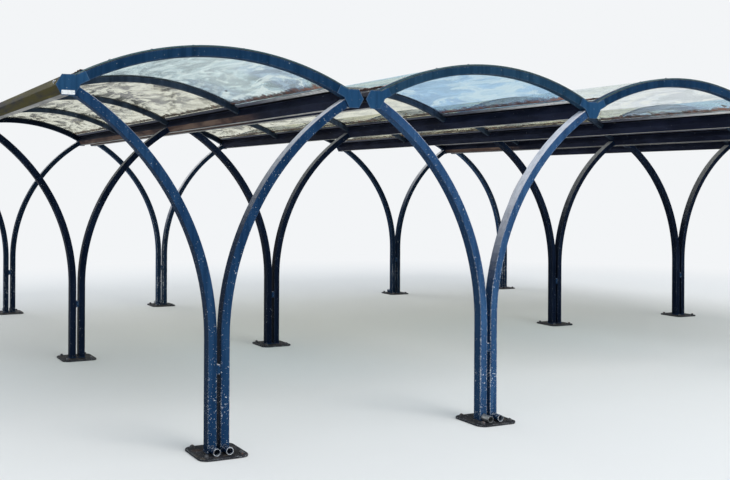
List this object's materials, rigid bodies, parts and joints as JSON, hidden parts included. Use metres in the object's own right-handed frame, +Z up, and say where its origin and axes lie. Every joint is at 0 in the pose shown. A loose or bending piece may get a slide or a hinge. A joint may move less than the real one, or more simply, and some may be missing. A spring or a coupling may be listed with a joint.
{
  "type": "bike shelter",
  "caption": "Open bike shelter: barrel-vaulted clear roof on curved steel arches and long gutters, carried by forked legs of paired bent tubes.",
  "frame": {"origin": "on the ground in the middle of the plan, at the underside of the base plates", "axes": "+X along the row of vaults to the right, seen from the front; +Y along the vaults from the front to the rear; +Z up"},
  "size_m": [9.184, 7.79, 2.3875],
  "materials": {
    "leg_paint": "satin",
    "arch_paint": "satin",
    "gutter_paint": "satin",
    "plate_paint": "satin",
    "strip_paint": "satin",
    "base_steel": "matte",
    "coupling_steel": "matte",
    "spout_steel": "weathered",
    "label_white": "matte",
    "clear_sheet": "clear",
    "seal_rubber": "matte"
  },
  "bodies": {
    "root": {"legs_vault1_front": "leg_paint", "legs_vault1_middle": "leg_paint", "legs_vault1_rear": "leg_paint", "legs_vault2_front": "leg_paint", "legs_vault2_middle": "leg_paint", "legs_vault2_rear": "leg_paint", "legs_vault4_front": "leg_paint", "legs_vault4_middle": "leg_paint", "legs_vault4_rear": "leg_paint", "legs_vault5_front": "leg_paint", "legs_vault5_middle": "leg_paint", "legs_vault5_rear": "leg_paint", "leg_spacers": "leg_paint", "base_plates": "base_steel", "rain_spouts": "spout_steel", "gutter_1": "gutter_paint", "gutter_2": "gutter_paint", "gutter_3": "gutter_paint", "gutter_4": "gutter_paint", "gutter_5": "gutter_paint", "gutter_6": "gutter_paint", "gutter_7": "gutter_paint", "gutter_8": "gutter_paint", "gutter_couplings": "coupling_steel", "front_end_plates": "plate_paint", "rear_end_plates": "plate_paint", "label_plate": "label_white", "end_arches_vault1": "arch_paint", "end_arches_vault2": "arch_paint", "end_arches_vault3": "arch_paint", "end_arches_vault4": "arch_paint", "end_arches_vault5": "arch_paint", "ribs_vault1": "arch_paint", "ribs_vault2": "arch_paint", "ribs_vault3": "arch_paint", "ribs_vault4": "arch_paint", "ribs_vault5": "arch_paint", "sheets_vault1": "clear_sheet", "sheets_vault2": "clear_sheet", "sheets_vault3": "clear_sheet", "sheets_vault4": "clear_sheet", "sheets_vault5": "clear_sheet", "sheet_seals": "seal_rubber", "joint_strips": "strip_paint"}
  },
  "joints": []
}
